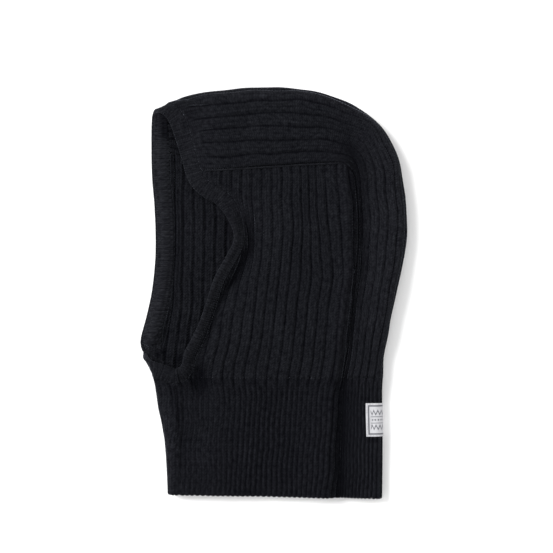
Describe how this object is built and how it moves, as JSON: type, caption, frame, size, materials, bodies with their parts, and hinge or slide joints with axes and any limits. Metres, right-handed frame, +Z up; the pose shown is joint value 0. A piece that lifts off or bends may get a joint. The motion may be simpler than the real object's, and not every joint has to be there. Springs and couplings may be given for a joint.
{
  "type": "balaclava",
  "caption": "Ribbed knit balaclava laid flat on its side, with a banded face opening, a crown-and-back panel, a fine-rib neck and a folded label.",
  "frame": {"origin": "on the ground, under the middle of the laid hood's bounding box", "axes": "+Z up, +Y from the neck hem to the crown, +X from the face opening to the back of the head"},
  "size_m": [0.2514, 0.3888, 0.027],
  "materials": {
    "left_side_panel": "heavy wide-rib knit, near-black yarn",
    "right_side_panel": "heavy wide-rib knit, near-black yarn",
    "crown_back_panel": "heavy wide-rib knit, near-black yarn",
    "neck_rib": "fine one-by-one rib knit, near-black yarn",
    "face_band": "fine one-by-one rib trim, near-black yarn",
    "band_join_seam": "linked yarn seam",
    "face_band_seam": "linked yarn seam",
    "left_panel_seam": "linked yarn seam",
    "right_panel_seam": "linked yarn seam",
    "woven_label": "smooth woven tape, white with a dark border",
    "label_stitching": "sewing thread"
  },
  "bodies": {
    "root": {"left_side_panel": "left_side_panel", "right_side_panel": "right_side_panel", "crown_back_panel": "crown_back_panel", "neck_rib": "neck_rib", "face_band": "face_band", "band_join_seam": "band_join_seam", "face_band_seam": "face_band_seam", "left_panel_seam": "left_panel_seam", "right_panel_seam": "right_panel_seam", "woven_label": "woven_label", "label_stitching": "label_stitching"}
  },
  "joints": []
}
